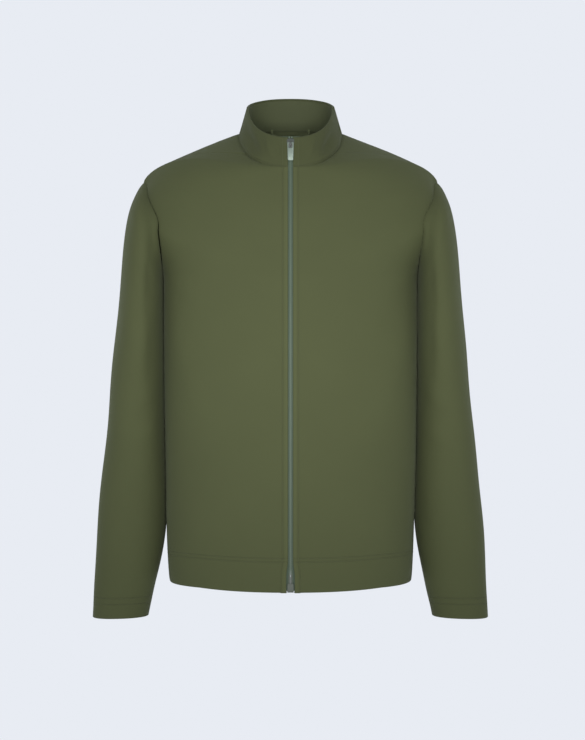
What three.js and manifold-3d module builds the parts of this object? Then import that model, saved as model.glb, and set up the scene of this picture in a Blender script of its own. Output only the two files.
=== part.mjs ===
// A full-zip jacket with a stand collar, as it stands when worn: millimetres, +Z up,
// -Y the front, +X the wearer's left. The origin is the middle of the neck opening,
// level with the points where the shoulder lines meet the collar.
// Cloth pieces are thin shells bent onto one body surface; the zip hardware is solid.
import * as THREE from 'three';
import { mergeVertices } from 'three/addons/utils/BufferGeometryUtils.js';
import Module from 'manifold-3d';

const { lerp, clamp } = THREE.MathUtils;
const wasm = await Module();
wasm.setup();

// ---- driving dimensions -------------------------------------------------------------
const HEM_Z = -660;
const ARMPIT_Z = -213;
const TIP_Z = -74; // where the shoulder line ends at the top of the armhole
const HEM_HALF = 178;
const CHEST_HALF = 186.5;
const TIP_HALF = 217;
const SIDE_Y = 6; // the side seams stand a little behind the neck's middle
const ZIP_TOP = { y: -90, z: -19 };
const ZIP_BOTTOM = { y: -135, z: -660 };
const BACK_HEM_Y = 124;
const BLADE = { y: 138, z: -220 };
const TIP_BACK_Y = 112;
const ARMHOLE_FRONT = 72;
const ARMHOLE_BACK = 80;
const ARMHOLE_BOW = 4;
const NECK = { half: 76, frontZ: -60, backY: 78, backZ: 16 };
const COLLAR_TOP = { half: 66, backY: 72, sideZ: 39, backZ: 59 };
const SHOULDER_RISE = 10.5;
const BODY_ROUND = 2.5; // superellipse powers: 2 is an ellipse, more is squarer
const NECK_ROUND = 3;
const SLEEVE_ROUND = 2.2;

const CLOTH = 1.8;
const FACING = 1.2;
const LAYER_GAP = 0.5;
const TAPE = 0.6;
const SEAM_GAP = 0.002; // in rows of the body surface, about 0.3 mm
const EDGE_X = 6; // cloth edge beside the zip
const HEM_TURN = 41;
const HEM_TURN_X = 20; // the turned hem stops here, short of the zip tape
const FACING_WIDTH = 50;

// Each front folds open about a straight roll line from the foot of the zip to the collar.
const ROLL_FOOT = new THREE.Vector3(0, -135, -655);
const ROLL_HEAD = new THREE.Vector3(62, -70, 0);
const ROLL_AXIS = ROLL_HEAD.clone().sub(ROLL_FOOT).normalize();
const ROLL_ACROSS = new THREE.Vector3(-0.8, -0.6, 0).projectOnPlane(ROLL_AXIS).normalize();
const STAY_EDGE = -2; // distance across the roll line where the still cloth ends
const FLAP_EDGE = 10; // and where the folding cloth begins
const FLAP_FOOT_ROW = 0.42;

// Rows of the body surface: hem 0, armpit 1, shoulder tip 2, neck seam 3.
const ARMPIT_ROW = 1;
const TIP_ROW = 2;
const NECK_ROW = 3;
const YOKE_ROW = 1.7;
const YOKE_REACH = 0.5; // how far the yoke comes forward at the neck, as an angle

const SLEEVE_CLOTH = 1.6;
const SLEEVE_SPLIT = 0.2;
const CUFF_TURN = 0.05; // of the sleeve's length

// ---- surfaces -----------------------------------------------------------------------
const squared = (value, power) => Math.sign(value) * Math.abs(value) ** (2 / power);

function frontY(z) {
  const k = (z - ZIP_BOTTOM.z) / (ZIP_TOP.z - ZIP_BOTTOM.z);
  return lerp(ZIP_BOTTOM.y, ZIP_TOP.y, k);
}

function backY(z) {
  if (z < BLADE.z) {
    return lerp(BACK_HEM_Y, BLADE.y, Math.sin((Math.PI / 2) * (z - HEM_Z) / (BLADE.z - HEM_Z)));
  }
  return BLADE.y - (BLADE.y - TIP_BACK_Y) * ((z - BLADE.z) / (TIP_Z - BLADE.z)) ** 2;
}

// Half depth of the armhole loop at a height share k, 0 at the armpit and 1 at the top.
function armholeDepth(k, front) {
  const reach = front ? ARMHOLE_FRONT : ARMHOLE_BACK;
  return reach * Math.sqrt(Math.max(0, 1 - (2 * k - 1) ** 2));
}

function halfWidth(k, depth, front) {
  const armhole = lerp(CHEST_HALF, TIP_HALF, k) - ARMHOLE_BOW * Math.sin(Math.PI * k);
  const share = clamp(armholeDepth(k, front) / depth, 0, 0.98);
  return armhole / (1 - share ** BODY_ROUND) ** (1 / BODY_ROUND);
}

// phi runs round the body: 0 the left side, +90 degrees the front, -90 degrees the back.
function bodySection(phi, z, k) {
  const front = Math.sin(phi) >= 0;
  const depth = front ? SIDE_Y - frontY(z) : backY(z) - SIDE_Y;
  const rise = Math.sin((Math.PI / 2) * clamp((z - HEM_Z) / (ARMPIT_Z - HEM_Z), 0, 1));
  const half = k > 0 ? halfWidth(k, depth, front) : lerp(HEM_HALF, CHEST_HALF, rise);
  const x = half * squared(Math.cos(phi), BODY_ROUND);
  return new THREE.Vector3(x, SIDE_Y - depth * squared(Math.sin(phi), BODY_ROUND), z);
}

function ringPoint(phi, half, frontDepth, backDepth) {
  const depth = Math.sin(phi) >= 0 ? frontDepth : backDepth;
  const y = SIDE_Y - depth * squared(Math.sin(phi), NECK_ROUND);
  return new THREE.Vector3(half * squared(Math.cos(phi), NECK_ROUND), y, 0);
}

function neckPoint(phi) {
  const point = ringPoint(phi, NECK.half, SIDE_Y - frontY(NECK.frontZ), NECK.backY - SIDE_Y);
  const sine = Math.sin(phi);
  point.z = sine >= 0 ? NECK.frontZ * sine ** 1.6 : -NECK.backZ * sine;
  return point;
}

function bodyPoint(phi, row) {
  if (row <= ARMPIT_ROW) {
    return bodySection(phi, lerp(HEM_Z, ARMPIT_Z, row), 0);
  }
  if (row <= TIP_ROW) {
    const k = row - ARMPIT_ROW;
    return bodySection(phi, lerp(ARMPIT_Z, TIP_Z, k), k);
  }
  const k = row - TIP_ROW;
  const point = bodySection(phi, TIP_Z, 1).lerp(neckPoint(phi), k);
  point.z += SHOULDER_RISE * Math.sin(Math.PI * Math.min(k, 1) ** 0.55) * Math.abs(Math.cos(phi));
  return point;
}

function collarPoint(phi, k) {
  const { half, backY: rim, sideZ, backZ } = COLLAR_TOP;
  const top = ringPoint(phi, half, SIDE_Y - ZIP_TOP.y, rim - SIDE_Y);
  const sine = Math.sin(phi);
  top.z = sine >= 0 ? lerp(sideZ, ZIP_TOP.z, sine ** 1.6) : lerp(sideZ, backZ, -sine);
  return neckPoint(phi).lerp(top, k);
}

const line = (points) => new THREE.CatmullRomCurve3(points.map((p) => new THREE.Vector3(...p)));
// Six rings down the sleeve: armhole, cap, upper arm, elbow, forearm, cuff.
// Each lists x, z of its body side, x, z of its outer side, and its half depth, middle y.
const SLEEVE_BODY_SIDE = line([[188.5, 0, -215], [189.5, 0, -242], [190, 0, -300],
  [189, 0, -450], [190, 0, -590], [207.5, 0, -709]]);
const SLEEVE_OUTER_SIDE = line([[218.5, 0, -73.5], [240, 0, -124], [252, 0, -230],
  [271, 0, -430], [285, 0, -585], [291, 0, -713]]);
const SLEEVE_DEPTH = line([[77, 6, 0], [81, 7, 0], [80, 9, 0], [64, 12, 0], [50, 4, 0], [36, -12, 0]]);

// theta runs round the sleeve: 0 its outer side, -90 degrees the front.
function sleevePoint(theta, along) {
  const t = clamp(along, 0, 1);
  const inner = SLEEVE_BODY_SIDE.getPoint(t);
  const outer = SLEEVE_OUTER_SIDE.getPoint(t);
  const depth = SLEEVE_DEPTH.getPoint(t);
  const out = 0.5 + 0.5 * squared(Math.cos(theta), SLEEVE_ROUND);
  const point = inner.lerp(outer, out);
  point.y = depth.y + depth.x * squared(Math.sin(theta), SLEEVE_ROUND);
  return point;
}

function normalAt(surface, u, v) {
  const step = 1e-3;
  const across = surface(u + step, v).sub(surface(u - step, v));
  const up = surface(u, v + step).sub(surface(u, v - step));
  return up.cross(across).normalize();
}

// ---- solids -------------------------------------------------------------------------
function volumeOf(geometry) {
  const at = geometry.attributes.position;
  const index = geometry.index.array;
  const corner = (i) => new THREE.Vector3().fromBufferAttribute(at, index[i]);
  let volume = 0;
  for (let i = 0; i < index.length; i += 3) {
    volume += corner(i).dot(corner(i + 1).cross(corner(i + 2)));
  }
  return volume;
}

// Keeps only positions, joins shared vertices and turns the faces outwards.
function closed(geometry) {
  geometry.deleteAttribute('normal');
  geometry.deleteAttribute('uv');
  const merged = mergeVertices(geometry, 1e-4);
  if (volumeOf(merged) < 0) {
    merged.index.array.reverse();
  }
  return merged;
}

function shiftVertices(geometry, place) {
  const at = geometry.attributes.position;
  for (let i = 0; i < at.count; i += 1) {
    const point = place(new THREE.Vector3().fromBufferAttribute(at, i));
    at.setXYZ(i, point.x, point.y, point.z);
  }
  return geometry;
}

// A slab bent onto a surface: rows lists its levels, span(row) gives its two edges there.
function shell(surface, { rows, span, columns, outside = 0, thick = CLOTH }) {
  const slab = new THREE.BoxGeometry(1, 1, 1, columns, rows.length - 1, 1);
  return closed(shiftVertices(slab, ({ x, y, z }) => {
    const row = rows[Math.round((y + 0.5) * (rows.length - 1))];
    const [from, to] = span(row);
    const u = lerp(from, to, x + 0.5);
    const depth = z > 0 ? outside : outside + thick;
    return surface(u, row).addScaledVector(normalAt(surface, u, row), -depth);
  }));
}

// The same for a tube: a lathe of unit rings, opened out onto the surface.
function tube(surface, { rows, sides, outside = 0, thick }) {
  const outer = rows.map((row, i) => new THREE.Vector2(2, i));
  const inner = rows.map((row, i) => new THREE.Vector2(1, i)).reverse();
  const ring = new THREE.LatheGeometry([...outer, ...inner, outer[0]], sides);
  return closed(shiftVertices(ring, (point) => {
    const theta = Math.atan2(point.x, point.z);
    const row = rows[Math.round(point.y)];
    const depth = Math.hypot(point.x, point.z) > 1.5 ? outside : outside + thick;
    const out = normalAt(surface, theta, row);
    return surface(theta, row).addScaledVector(out, -depth);
  }));
}

function solidOf(geometry) {
  const whole = closed(geometry);
  return new wasm.Manifold(new wasm.Mesh({
    numProp: 3,
    vertProperties: new Float32Array(whole.attributes.position.array),
    triVerts: new Uint32Array(whole.index.array),
  }));
}

function geometryOf(solid) {
  const { vertProperties, triVerts } = solid.getMesh();
  const geometry = new THREE.BufferGeometry();
  geometry.setAttribute('position', new THREE.BufferAttribute(vertProperties, 3));
  geometry.setIndex(new THREE.BufferAttribute(triVerts, 1));
  return geometry;
}

function block(x, y, z) {
  const box = new THREE.BoxGeometry(x[1] - x[0], y[1] - y[0], z[1] - z[0]);
  return box.translate((x[0] + x[1]) / 2, (y[0] + y[1]) / 2, (z[0] + z[1]) / 2);
}

// ---- where each cloth piece starts and stops ----------------------------------------
function spread(from, to, count) {
  return Array.from({ length: count + 1 }, (_, i) => lerp(from, to, i / count));
}

// The angle between the side and the front middle where `test` turns from no to yes.
function angleWhere(test) {
  let low = 0;
  let high = Math.PI / 2;
  for (let i = 0; i < 40; i += 1) {
    const middle = (low + high) / 2;
    if (test(middle)) {
      high = middle;
    } else {
      low = middle;
    }
  }
  return high;
}

const acrossRoll = (point) => point.clone().sub(ROLL_FOOT).dot(ROLL_ACROSS);
const angleAtX = (surface, row, x) => angleWhere((phi) => surface(phi, row).x < x);
const angleAcross = (surface, row, s) => angleWhere((phi) => acrossRoll(surface(phi, row)) > s);

function armholeAngle(row, front) {
  const k = row - ARMPIT_ROW;
  if (k <= 0 || k >= 1) {
    return SEAM_GAP;
  }
  const z = lerp(ARMPIT_Z, TIP_Z, k);
  const depth = front ? SIDE_Y - frontY(z) : backY(z) - SIDE_Y;
  return Math.asin((armholeDepth(k, front) / depth) ** (BODY_ROUND / 2)) + SEAM_GAP;
}

function yokeAngle(row) {
  return YOKE_REACH * Math.sqrt(clamp(row - TIP_ROW, 0, 1));
}

function frontOuterAngle(row) {
  return row <= TIP_ROW ? armholeAngle(row, true) : yokeAngle(row) + 3 * SEAM_GAP;
}

const LOWER_ROWS = [0, 0.09, 0.2, FLAP_FOOT_ROW - 0.07, FLAP_FOOT_ROW, 0.6, 0.8, 0.95];
const UPPER_ROWS = [1, 1.04, 1.15, 1.3, 1.5, 1.7, 1.85, 1.96, 2, 2.15, 2.4, 2.7, NECK_ROW - SEAM_GAP];

function frontSide() {
  return shell(bodyPoint, {
    rows: [...LOWER_ROWS, ...UPPER_ROWS],
    columns: 8,
    span: (row) => {
      const open = row >= FLAP_FOOT_ROW;
      const edge = open ? angleAcross(bodyPoint, row, STAY_EDGE) : angleAtX(bodyPoint, row, EDGE_X);
      return [frontOuterAngle(row), edge];
    },
  });
}

const flapRows = (foot) => [foot, ...LOWER_ROWS.slice(5), ...UPPER_ROWS];

function frontFlap() {
  return shell(bodyPoint, {
    rows: flapRows(FLAP_FOOT_ROW + 0.01),
    columns: 4,
    span: (row) => [angleAcross(bodyPoint, row, FLAP_EDGE), angleAtX(bodyPoint, row, EDGE_X)],
  });
}

function frontFacing() {
  return shell(bodyPoint, {
    rows: flapRows(FLAP_FOOT_ROW + 0.09),
    columns: 3,
    outside: CLOTH + TAPE + 3 * LAYER_GAP,
    thick: FACING,
    span: (row) => {
      const wide = angleAtX(bodyPoint, row, FACING_WIDTH);
      const fold = angleAcross(bodyPoint, row, FLAP_EDGE + 3);
      return [Math.max(wide, fold), angleAtX(bodyPoint, row, EDGE_X)];
    },
  });
}

const COLLAR_ROWS = spread(0.012, 1, 3);

function collarFront(outside, thick) {
  return shell(collarPoint, {
    rows: COLLAR_ROWS,
    columns: 6,
    outside,
    thick,
    span: (k) => [angleAcross(collarPoint, k, 0.5), angleAtX(collarPoint, k, EDGE_X)],
  });
}

function collarBack(outside, thick) {
  return shell(collarPoint, {
    rows: COLLAR_ROWS,
    columns: 24,
    outside,
    thick,
    span: (k) => {
      const left = angleAcross(collarPoint, k, -0.5);
      return [-Math.PI - left, left];
    },
  });
}

function backPanel() {
  return shell(bodyPoint, {
    rows: [0, 0.2, 0.4, 0.6, 0.8, 1, 1.04, 1.15, 1.3, 1.5, YOKE_ROW - SEAM_GAP],
    columns: 20,
    span: (row) => {
      const edge = armholeAngle(row, false);
      return [-Math.PI + edge, -edge];
    },
  });
}

function backYoke() {
  return shell(bodyPoint, {
    rows: [YOKE_ROW + SEAM_GAP, 1.85, 1.96, 2, 2.15, 2.4, 2.7, NECK_ROW - SEAM_GAP],
    columns: 26,
    span: (row) => {
      const edge = row < TIP_ROW ? -armholeAngle(row, false) : yokeAngle(row) - SEAM_GAP;
      return [-Math.PI - edge, edge];
    },
  });
}

function neckFacing() {
  return shell(bodyPoint, {
    rows: [2.6, 2.8, NECK_ROW - SEAM_GAP],
    columns: 14,
    outside: CLOTH + 3 * LAYER_GAP,
    thick: FACING,
    span: () => [-Math.PI + 0.45, -0.45],
  });
}

// The hem's turned-up cloth, between two edges that may depend on the row.
function hemTurn(columns, span) {
  const top = HEM_TURN / (ARMPIT_Z - HEM_Z);
  const outside = CLOTH + 2 * LAYER_GAP;
  return shell(bodyPoint, { rows: [0, top], columns, outside, thick: FACING, span });
}

const backHemTurn = () => hemTurn(20, () => [-Math.PI + SEAM_GAP, -SEAM_GAP]);
const frontHemTurn = () => hemTurn(8, (row) => [SEAM_GAP, angleAtX(bodyPoint, row, HEM_TURN_X)]);

function sleeveRange(from, to, count, outside, thick) {
  return tube(sleevePoint, { rows: spread(from, to, count), sides: 20, outside, thick });
}

// A flat tape loop sewn under the collar seam, with room for a peg.
function hangerLoop() {
  const outline = new THREE.Shape();
  outline.moveTo(-30, 0);
  outline.lineTo(30, 0);
  outline.lineTo(30, -8);
  outline.quadraticCurveTo(29, -13, 24, -13);
  outline.lineTo(-24, -13);
  outline.quadraticCurveTo(-29, -13, -30, -8);
  const gap = new THREE.Path();
  gap.moveTo(-25, -3);
  gap.lineTo(-23, -10);
  gap.lineTo(23, -10);
  gap.lineTo(25, -3);
  outline.holes.push(gap);
  const loop = new THREE.ExtrudeGeometry(outline, { depth: 1.2, bevelEnabled: false, curveSegments: 3 });
  return closed(loop.rotateX(Math.PI / 2).translate(0, 70.2, 14));
}

// ---- zip, in its own frame: local -Z runs down the chain, local y 0 is the cloth face --
const ZIP_TILT = Math.atan2(ZIP_TOP.y - ZIP_BOTTOM.y, ZIP_TOP.z - ZIP_BOTTOM.z);
const ZIP_LENGTH = Math.hypot(ZIP_TOP.y - ZIP_BOTTOM.y, ZIP_TOP.z - ZIP_BOTTOM.z);
const TAPE_Y = CLOTH + 1.6 * LAYER_GAP;
const TAPE_WIDTH = 10;
const TEETH = { from: 0.2, to: 2.6, y: [1.6, 4.2], top: -4.6 };
const SLIDER = { half: 5.2, length: 13, front: [-0.4, 1.2], back: [4.6, 6] };
const BOX_TOP = -(ZIP_LENGTH - 8);
const PIN_LENGTH = 12;
const PULLER = { width: 9.3, foot: 8.2, length: 26, bar: 1.3, thick: 1.3, y: -2.2, z: -6.4 };

function zipTape() {
  const across = [TEETH.to + 0.3, TEETH.to + 0.3 + TAPE_WIDTH];
  return closed(block(across, [TAPE_Y, TAPE_Y + TAPE], [BOX_TOP + PIN_LENGTH + 1, 3]));
}

function toothRow() {
  return closed(block([TEETH.from, TEETH.to], TEETH.y, [BOX_TOP + PIN_LENGTH + 0.6, TEETH.top]));
}

function topStop() {
  return closed(block([0.5, TEETH.to], TEETH.y, [0.4, 3]));
}

function zipPin() {
  return closed(block([1.2, TEETH.to], [1.8, 4], [BOX_TOP + 0.3, BOX_TOP + PIN_LENGTH]));
}

function retainerBox() {
  return closed(block([-4.6, 4.6], [0.6, 5.2], [-ZIP_LENGTH - 1.5, BOX_TOP]));
}

function plate(halfTop, halfFoot, [near, far]) {
  const outline = new THREE.Shape();
  outline.moveTo(-halfTop, -1.5);
  outline.quadraticCurveTo(0, 1.2, halfTop, -1.5);
  outline.lineTo(halfTop, -6);
  outline.lineTo(halfFoot, -SLIDER.length);
  outline.lineTo(-halfFoot, -SLIDER.length);
  outline.lineTo(-halfTop, -6);
  const flat = new THREE.ExtrudeGeometry(outline,
    { depth: far - near, bevelEnabled: false, curveSegments: 6 });
  return flat.rotateX(Math.PI / 2).translate(0, far, 0);
}

function sliderBody() {
  const post = solidOf(block([-0.9, 0.9], [1, 4.8], [-4, -1.5]));
  const front = solidOf(plate(SLIDER.half, 4.2, SLIDER.front));
  const back = solidOf(plate(SLIDER.half, 4.2, SLIDER.back));
  return geometryOf(front.add(back).add(post));
}

// The arch on the slider that the puller's bar turns under.
function sliderBridge() {
  const arch = new THREE.Shape();
  arch.moveTo(-0.7, -4.4);
  arch.lineTo(-2.6, -4.4);
  arch.quadraticCurveTo(-4, -4.4, -4, -6.9);
  arch.lineTo(-4, -10.5);
  arch.lineTo(-2.8, -12.5);
  arch.lineTo(-0.7, -12.5);
  arch.lineTo(-0.7, -11.5);
  arch.lineTo(-3, -10.1);
  arch.lineTo(-3, -5.4);
  arch.lineTo(-0.7, -5.4);
  const bridge = new THREE.ExtrudeGeometry(arch, { depth: 2.4, bevelEnabled: false, curveSegments: 5 });
  const stand = new THREE.Matrix4().set(0, 0, 1, -1.2, 1, 0, 0, 0, 0, 1, 0, 0, 0, 0, 0, 1);
  return closed(bridge.applyMatrix4(stand));
}

function puller() {
  const { width, foot, length, bar, thick, y, z } = PULLER;
  const outline = new THREE.Shape();
  outline.moveTo(-width / 2, 0);
  outline.lineTo(width / 2, 0);
  outline.lineTo(foot / 2, 2 - length);
  outline.quadraticCurveTo(foot / 2, -length, foot / 2 - 2, -length);
  outline.lineTo(2 - foot / 2, -length);
  outline.quadraticCurveTo(-foot / 2, -length, -foot / 2, 2 - length);
  const hole = new THREE.Path();
  hole.moveTo(-2.75, -bar);
  hole.lineTo(-2.75, -bar - 6.2);
  hole.lineTo(2.75, -bar - 6.2);
  hole.lineTo(2.75, -bar);
  outline.holes.push(hole);
  const tab = new THREE.ExtrudeGeometry(outline, { depth: thick, bevelEnabled: false, curveSegments: 3 });
  return closed(tab.rotateX(Math.PI / 2).translate(0, y + thick, z));
}

// ---- assembly -----------------------------------------------------------------------
const finish = (color, roughness, metalness) =>
  new THREE.MeshStandardMaterial({ color, roughness, metalness });
const OLIVE = finish(0x565c42, 0.85, 0);
const LINING = finish(0x4d5340, 0.9, 0);
const TAPE_GREEN = finish(0x5a6a5b, 0.85, 0);
const COIL = finish(0x5f6f62, 0.45, 0.1);
const METAL = finish(0x8c988b, 0.35, 0.9);

const jacket = new THREE.Group();
const zip = new THREE.Group();
zip.position.set(0, ZIP_TOP.y, ZIP_TOP.z);
zip.rotation.x = -Math.abs(ZIP_TILT);
jacket.add(zip);

function put(parent, name, geometry, material) {
  const mesh = new THREE.Mesh(geometry, material);
  mesh.name = name;
  parent.add(mesh);
}

// Makes a piece for each side: the right one is the left one in a mirror.
function putPair(parent, name, build, material) {
  put(parent, `left_${name}`, build(), material);
  put(parent, `right_${name}`, closed(build().scale(-1, 1, 1)), material);
}

put(jacket, 'back_panel', backPanel(), OLIVE);
put(jacket, 'back_yoke', backYoke(), OLIVE);
put(jacket, 'collar_back', collarBack(0, CLOTH), OLIVE);
put(jacket, 'collar_back_lining', collarBack(CLOTH + 2 * LAYER_GAP, FACING), LINING);
put(jacket, 'neck_facing', neckFacing(), LINING);
put(jacket, 'hanger_loop', hangerLoop(), LINING);
put(jacket, 'back_hem_turn', backHemTurn(), LINING);
putPair(jacket, 'front_side', frontSide, OLIVE);
putPair(jacket, 'front_flap', frontFlap, OLIVE);
putPair(jacket, 'front_facing', frontFacing, LINING);
putPair(jacket, 'hem_turn', frontHemTurn, LINING);
putPair(jacket, 'collar_front', () => collarFront(0, CLOTH), OLIVE);
putPair(jacket, 'collar_front_lining',
  () => collarFront(CLOTH + TAPE + 3 * LAYER_GAP, FACING), LINING);
putPair(jacket, 'sleeve_cap', () => sleeveRange(0, SLEEVE_SPLIT, 4, 0, SLEEVE_CLOTH), OLIVE);
putPair(jacket, 'sleeve', () => sleeveRange(SLEEVE_SPLIT + 0.003, 1, 12, 0, SLEEVE_CLOTH), OLIVE);
putPair(jacket, 'cuff_turn',
  () => sleeveRange(1 - CUFF_TURN, 1, 1, SLEEVE_CLOTH + LAYER_GAP, FACING), LINING);
putPair(zip, 'zip_tape', zipTape, TAPE_GREEN);
putPair(zip, 'zip_teeth', toothRow, COIL);
putPair(zip, 'top_stop', topStop, COIL);
putPair(zip, 'zip_pin', zipPin, COIL);
put(zip, 'retainer_box', retainerBox(), COIL);
put(zip, 'slider_body', sliderBody(), METAL);
put(zip, 'slider_bridge', sliderBridge(), METAL);
put(zip, 'zip_puller', puller(), METAL);

export default jacket;
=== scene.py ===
# %% [markdown]
# # A full-zip jacket with a stand collar
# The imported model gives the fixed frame: metres, +Z up, -Y the front, +X the wearer's left, with the
# origin in the middle of the neck opening. Every cloth piece below is cut, bent and sewn around it.

# %% The frame
import math
from functools import partial
import bmesh
import bpy
import numpy as np
from mathutils import Matrix, Vector


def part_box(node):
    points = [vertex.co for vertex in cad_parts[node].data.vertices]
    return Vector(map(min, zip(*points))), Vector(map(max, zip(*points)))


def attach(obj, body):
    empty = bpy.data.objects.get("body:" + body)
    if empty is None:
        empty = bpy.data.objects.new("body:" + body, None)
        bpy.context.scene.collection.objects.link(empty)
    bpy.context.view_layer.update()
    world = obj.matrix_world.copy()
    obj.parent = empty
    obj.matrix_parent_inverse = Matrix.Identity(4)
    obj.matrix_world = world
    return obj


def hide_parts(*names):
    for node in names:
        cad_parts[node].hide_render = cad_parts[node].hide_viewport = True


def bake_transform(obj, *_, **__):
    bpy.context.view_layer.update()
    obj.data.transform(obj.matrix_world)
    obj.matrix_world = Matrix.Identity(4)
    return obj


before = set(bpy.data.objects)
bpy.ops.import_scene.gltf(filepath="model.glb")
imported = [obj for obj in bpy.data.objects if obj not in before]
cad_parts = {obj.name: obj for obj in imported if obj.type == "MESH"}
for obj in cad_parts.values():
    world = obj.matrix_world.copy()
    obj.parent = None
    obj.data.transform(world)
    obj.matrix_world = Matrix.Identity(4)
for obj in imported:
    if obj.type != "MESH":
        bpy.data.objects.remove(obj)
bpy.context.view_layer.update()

MM = 0.001

# %% [markdown]
# ## Camera and light
# The jacket is looked at level, straight from the front, through a long lens from almost three metres:
# far enough that the sleeves and the body keep their true widths.

# %% Camera
camera = bpy.data.objects.new("camera", bpy.data.cameras.new("camera"))
camera.location = (0, -2.75, -0.351)
camera.rotation_euler = (math.pi / 2, 0, 0)
camera.data.sensor_fit = "HORIZONTAL"
camera.data.sensor_width = 36
camera.data.lens = 114.3
camera.data.shift_x = 0.0034
camera.data.clip_end = 60
bpy.context.collection.objects.link(camera)
bpy.context.scene.camera = camera
bpy.context.scene.view_settings.view_transform = "Standard"
print("camera", tuple(camera.location), "lens", camera.data.lens)

# %% [markdown]
# Cloth is judged by slow changes of tone, so the light is soft. A broad panel straight in front, about level
# with the middle of the jacket, gives the bright chest, a panel at each side brings out the outer edge of
# the sleeves, and one behind serves the back. The pale surroundings fill the rest.

# %% Light
def panel(name, place, look_at, size, power, spread=180):
    light = bpy.data.objects.new(name, bpy.data.lights.new(name, "AREA"))
    light.data.shape = "RECTANGLE"
    light.data.size, light.data.size_y = size
    light.data.energy = power
    light.data.spread = math.radians(spread)
    light.location = place
    light.rotation_euler = (Vector(look_at) - Vector(place)).to_track_quat("-Z", "Y").to_euler()
    light.visible_camera = False
    bpy.context.collection.objects.link(light)


panel("front_light", (0, -1.9, -0.36), (0, 0, -0.27), (0.9, 0.3), 3.4, 46)
panel("left_light", (2.2, -0.5, 0.1), (0, 0, -0.35), (0.9, 1.4), 2)
panel("right_light", (-2.2, -0.5, 0.1), (0, 0, -0.35), (0.9, 1.4), 2)
panel("back_light", (0, 1.9, -0.3), (0, 0, -0.27), (0.9, 0.3), 3.6, 50)
world = bpy.data.worlds.new("pale_room")
bpy.context.scene.world = world
world.use_nodes = True
surround = world.node_tree.nodes["Background"]
surround.inputs["Color"].default_value = (0.807, 0.838, 0.896, 1)
surround.inputs["Strength"].default_value = 1.0

# %% [markdown]
# ## Writing materials as sums
# A woven pattern is a formula. One small class lets the formulas be written with + and *, and one method
# adds any other node and plugs in its inputs.

# %% A socket that can be added and multiplied
class Wire:
    def __init__(self, tree, socket):
        self.tree = tree
        self.socket = socket

    def sums(self, operation, *values):
        node = self.tree.nodes.new("ShaderNodeMath")
        node.operation = operation
        for slot, value in zip(node.inputs, values):
            plug(self.tree, slot, value)
        return Wire(self.tree, node.outputs[0])

    def __add__(self, other):
        return self.sums("ADD", self, other)

    def __sub__(self, other):
        return self.sums("SUBTRACT", self, other)

    def __rsub__(self, other):
        return self.sums("SUBTRACT", other, self)

    def __mul__(self, other):
        return self.sums("MULTIPLY", self, other)

    __radd__ = __add__
    __rmul__ = __mul__

    def sine(self):
        return self.sums("SINE", self)

    def size(self):
        return self.sums("ABSOLUTE", self)

    def ridge(self, centre, width):
        """1 on a line at centre, falling smoothly to 0 about a width away."""
        away = (self - centre) * (1 / width)
        return self.sums("EXPONENT", away * away * -1.0)


def plug(tree, slot, value):
    if isinstance(value, Wire):
        tree.links.new(value.socket, slot)
    else:
        slot.default_value = value


class Finish:
    """One material and its nodes."""

    def __init__(self, name):
        self.material = bpy.data.materials.new(name)
        self.material.use_nodes = True
        self.tree = self.material.node_tree
        self.shader = self.tree.nodes["Principled BSDF"]

    def node(self, kind, inputs, output=0):
        node = self.tree.nodes.new(kind)
        for key, value in inputs.items():
            plug(self.tree, node.inputs[key], value)
        return Wire(self.tree, node.outputs[output])

    def spot(self, space):
        """Where the shader is, in metres: on the piece's map ("UV") or in its own space ("Object")."""
        return self.node("ShaderNodeTexCoord", {}, space)

    def split(self, vector):
        node = self.tree.nodes.new("ShaderNodeSeparateXYZ")
        plug(self.tree, node.inputs[0], vector)
        return [Wire(self.tree, output) for output in node.outputs]

    def noise(self, vector, scale, detail=3.0):
        return self.node("ShaderNodeTexNoise", {"Vector": vector, "Scale": scale, "Detail": detail})

    def blend(self, share, first, second):
        node = self.tree.nodes.new("ShaderNodeMix")
        node.data_type = "RGBA"
        plug(self.tree, node.inputs[0], share)
        plug(self.tree, node.inputs[6], first)
        plug(self.tree, node.inputs[7], second)
        return Wire(self.tree, node.outputs[2])

    def bump(self, height, distance, strength, under=None):
        inputs = {"Height": height, "Distance": distance, "Strength": strength}
        if under is not None:
            inputs["Normal"] = under
        return self.node("ShaderNodeBump", inputs)

    def set(self, **values):
        for key, value in values.items():
            plug(self.tree, self.shader.inputs[key.replace("_", " ")], value)


def shade(colour, factor):
    return (colour[0] * factor, colour[1] * factor, colour[2] * factor, 1)


print("material helpers ready")

# %% [markdown]
# ## The shell cloth
# The jacket is cut from a matt, closely woven cotton blend. Its map is in metres: u runs across the piece
# from its front or middle edge, v up from its lower edge, so a thread is a thread's width everywhere and a
# seam can be ruled at its real distance from the edge. The weave is two crossed waves a little over half a
# millimetre apart. The yarn is uneven in colour, the folded edges are slightly rubbed, and a sewn line
# pulls the cloth down into a shallow channel, whose shade is painted into the colour as a darker line.

# %% Woven cloth
OLIVE = (0.0480, 0.0545, 0.0228)
LINING_OLIVE = (0.056, 0.064, 0.031)


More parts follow.
